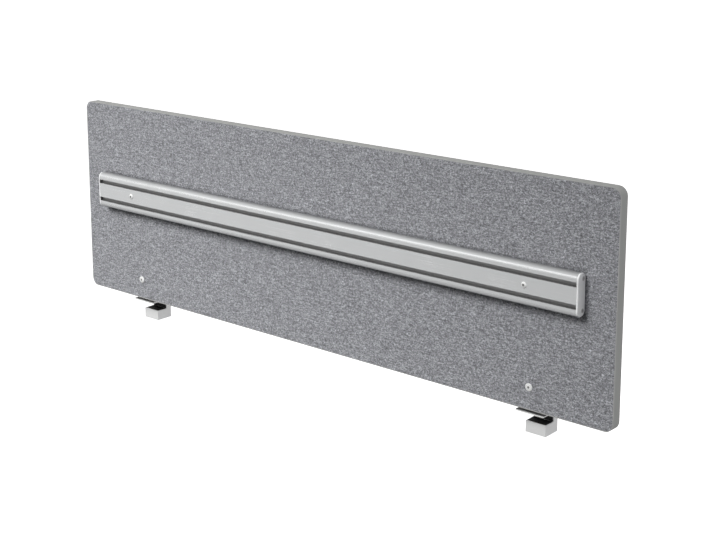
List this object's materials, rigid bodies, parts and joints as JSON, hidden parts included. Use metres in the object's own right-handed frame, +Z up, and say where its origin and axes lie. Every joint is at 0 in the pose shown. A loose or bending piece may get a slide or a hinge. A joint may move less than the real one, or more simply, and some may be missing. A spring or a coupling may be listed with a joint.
{
  "type": "desk-clamped acoustic divider screen",
  "caption": "Wide felt-faced acoustic screen with a slotted aluminium accessory rail across its front and clamps that grip the rear edge of a desk top.",
  "frame": {"origin": "midway between the two clamps, where the top surface of the desk meets its rear edge", "axes": "+X to the right as the seated user sees it, -Y towards the user, +Z up; the panel stands above the desk on the -Y side of the desk's rear edge"},
  "size_m": [1.6, 0.1055, 0.563],
  "materials": {
    "absorber": "compressed polyester fibre board",
    "felt": "mottled grey wool-look felt",
    "band": "plain matt grey edge band",
    "rail": "natural satin anodised extrusion",
    "cap": "satin silver",
    "bolt": "bright nickel plate",
    "screw": "dark zinc plate",
    "bracket": "silver powder coat",
    "block": "silver powder coat on die-cast zinc",
    "bush": "turned brass",
    "steel": "zinc-plated steel",
    "pad": "matt black rubber"
  },
  "bodies": {
    "screen": {"absorber_core": "absorber", "front_felt": "felt", "rear_felt": "felt", "edge_band": "band", "rail_profile": "rail", "rail_end_cap_left": "cap", "rail_end_cap_right": "cap", "rail_cap_screws": "screw", "rail_bolts": "bolt", "rail_sleeve_nuts": "bolt", "panel_bolts": "bolt", "panel_cap_nuts": "bolt", "mounting_angle_left": "bracket", "mounting_angle_right": "bracket", "top_plate_left": "bracket", "top_plate_right": "bracket", "top_pad_left": "pad", "top_pad_right": "pad", "clamp_block_left": "block", "clamp_block_right": "block", "block_screws_left": "steel", "block_screws_right": "steel", "edge_liner_left": "pad", "edge_liner_right": "pad", "thread_bush_left": "bush", "thread_bush_right": "bush"},
    "clamp_foot_left": {"pressure_plate_left": "steel", "clamp_pad_left": "pad"},
    "clamp_foot_right": {"pressure_plate_right": "steel", "clamp_pad_right": "pad"},
    "set_screw_left": {"clamp_screw_left": "steel", "screw_clip_left": "screw"},
    "set_screw_right": {"clamp_screw_right": "steel", "screw_clip_right": "screw"}
  },
  "joints": [
    {"name": "foot_lift_left", "type": "slide", "parent": "screen", "child": "clamp_foot_left", "axis": [0, 0, 1], "range_m": [0, 0.007]},
    {"name": "screw_turn_left", "type": "hinge", "parent": "clamp_foot_left", "child": "set_screw_left", "pos_m": [-0.6, -0.014, -0.034], "axis": [0, 0, 1], "range_deg": [0, 2016]},
    {"name": "foot_lift_right", "type": "slide", "parent": "screen", "child": "clamp_foot_right", "axis": [0, 0, 1], "range_m": [0, 0.007]},
    {"name": "screw_turn_right", "type": "hinge", "parent": "clamp_foot_right", "child": "set_screw_right", "pos_m": [0.6, -0.014, -0.034], "axis": [0, 0, 1], "range_deg": [0, 2016]}
  ],
  "couplings": [
    {"joint": "screw_turn_left", "follows": "foot_lift_left", "rad_per_m": 5026.5},
    {"joint": "screw_turn_right", "follows": "foot_lift_right", "rad_per_m": 5026.5}
  ]
}
